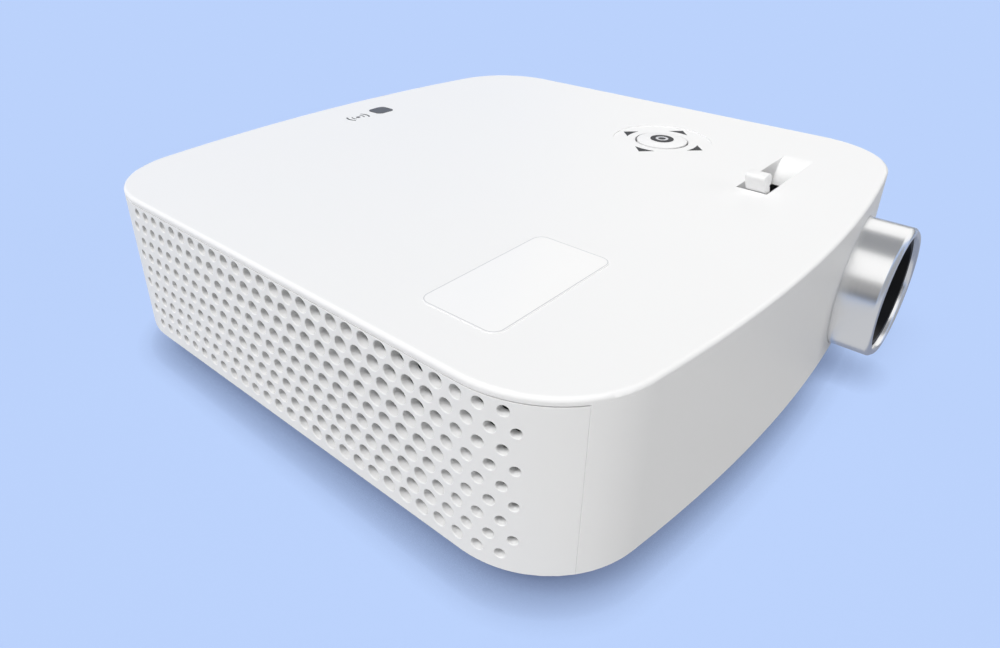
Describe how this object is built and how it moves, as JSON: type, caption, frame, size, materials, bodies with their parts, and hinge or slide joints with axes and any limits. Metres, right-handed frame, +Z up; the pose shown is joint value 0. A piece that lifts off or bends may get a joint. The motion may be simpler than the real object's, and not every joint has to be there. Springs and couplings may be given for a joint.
{
  "type": "mini projector",
  "caption": "Flat square mini projector with vented sides, a ringed lens focused by a lever in the top, a small joystick, cooling fans and sockets at the back.",
  "frame": {"origin": "on the table under the feet, at the middle of the overall footprint, lens ring included", "axes": "+Z up, -Y towards the screen (the lens faces -Y), +X to the right for someone who looks into the lens"},
  "size_m": [0.17, 0.1796, 0.0542],
  "materials": {
    "case_white": "fine satin, white",
    "tray_white": "fine texture, off-white",
    "foot_rubber": "soft, dark grey",
    "insert_brass": "plain turned",
    "ring_aluminium": "satin, turned",
    "black_plastic": "matt black",
    "barrel_black": "matt black",
    "lens_glass": "coated, faint blue and amber reflections",
    "prism_glass": "polished",
    "chip_mirror": "polished, in a dark frame",
    "red_mirror_glass": "reflects red",
    "blue_mirror_glass": "reflects blue",
    "engine_cast": "dark die-cast alloy",
    "copper": "copper colour",
    "sink_aluminium": "extruded, plain",
    "fan_black": "matt black",
    "board_green": "green solder mask",
    "socket_steel": "stamped sheet",
    "socket_black": "matt black",
    "speaker_black": "matt black",
    "stick_steel": "plain",
    "window_grey": "gloss, dark grey",
    "film_clear": "clear protective film",
    "screw_steel": "zinc plated"
  },
  "bodies": {
    "housing": {"top_cover": "case_white", "left_vent_panel": "case_white", "right_vent_panel": "case_white", "front_panel": "case_white", "rear_panel": "case_white", "bottom_cover": "tray_white", "tripod_insert": "insert_brass", "foot_front_left": "foot_rubber", "foot_front_right": "foot_rubber", "foot_rear_left": "foot_rubber", "foot_rear_right": "foot_rubber", "lens_ring": "ring_aluminium", "lens_baffle": "black_plastic", "lens_holder": "black_plastic", "retaining_collar": "black_plastic", "engine_housing": "engine_cast", "engine_cover": "engine_cast", "prism": "prism_glass", "mirror_chip": "chip_mirror", "red_mirror": "red_mirror_glass", "blue_mirror": "blue_mirror_glass", "red_lamp": "copper", "blue_lamp": "copper", "green_lamp": "copper", "heat_sink": "sink_aluminium", "heat_pipes": "copper", "left_fan_frame": "fan_black", "right_fan_frame": "fan_black", "main_board": "board_green", "power_board": "board_green", "hdmi_socket": "socket_steel", "usb_socket": "socket_steel", "audio_socket": "socket_black", "dc_socket": "socket_black", "speaker": "speaker_black", "key_board": "board_green", "joystick_base": "socket_black", "ir_window": "window_grey", "ir_board": "board_green", "clear_film": "film_clear", "case_screws": "screw_steel", "board_screws": "screw_steel"},
    "focus_ring": {"focus_ring": "black_plastic", "focus_lever": "case_white"},
    "focusing_barrel": {"focusing_barrel": "barrel_black", "focus_pin": "stick_steel", "front_lens": "lens_glass", "middle_lens": "lens_glass", "rear_lens": "lens_glass"},
    "joystick_yoke": {"joystick_yoke": "socket_black"},
    "joystick_stick": {"joystick_stick": "stick_steel"},
    "joystick_cap": {"joystick_cap": "case_white"},
    "left_fan_rotor": {"left_fan_rotor": "fan_black"},
    "right_fan_rotor": {"right_fan_rotor": "fan_black"}
  },
  "joints": [
    {"name": "focus_turn", "type": "hinge", "parent": "housing", "child": "focus_ring", "pos_m": [0.0382, -0.0525, 0.0265], "axis": [0, 1, 0], "range_deg": [0, 50]},
    {"name": "focus_travel", "type": "slide", "parent": "housing", "child": "focusing_barrel", "axis": [0, -1, 0], "range_m": [0, 0.0016]},
    {"name": "joystick_tilt_x", "type": "hinge", "parent": "housing", "child": "joystick_yoke", "pos_m": [0.0468, -0.014, 0.0438], "axis": [1, 0, 0], "range_deg": [-4, 4], "stiffness_Nm_per_rad": 0.05},
    {"name": "joystick_tilt_y", "type": "hinge", "parent": "joystick_yoke", "child": "joystick_stick", "pos_m": [0.0468, -0.014, 0.0438], "axis": [0, 1, 0], "range_deg": [-4, 4], "stiffness_Nm_per_rad": 0.05},
    {"name": "joystick_press", "type": "slide", "parent": "joystick_stick", "child": "joystick_cap", "axis": [0, 0, -1], "range_m": [0, 0.0005], "stiffness_N_per_m": 1000, "springref_m": -0.0005},
    {"name": "left_fan_spin", "type": "hinge", "parent": "housing", "child": "left_fan_rotor", "pos_m": [-0.0675, 0.0268, 0.025], "axis": [1, 0, 0], "continuous": true},
    {"name": "right_fan_spin", "type": "hinge", "parent": "housing", "child": "right_fan_rotor", "pos_m": [0.0675, 0.0268, 0.025], "axis": [1, 0, 0], "continuous": true}
  ],
  "couplings": [
    {"joint": "focus_turn", "follows": "focus_travel", "rad_per_m": 545.42}
  ]
}
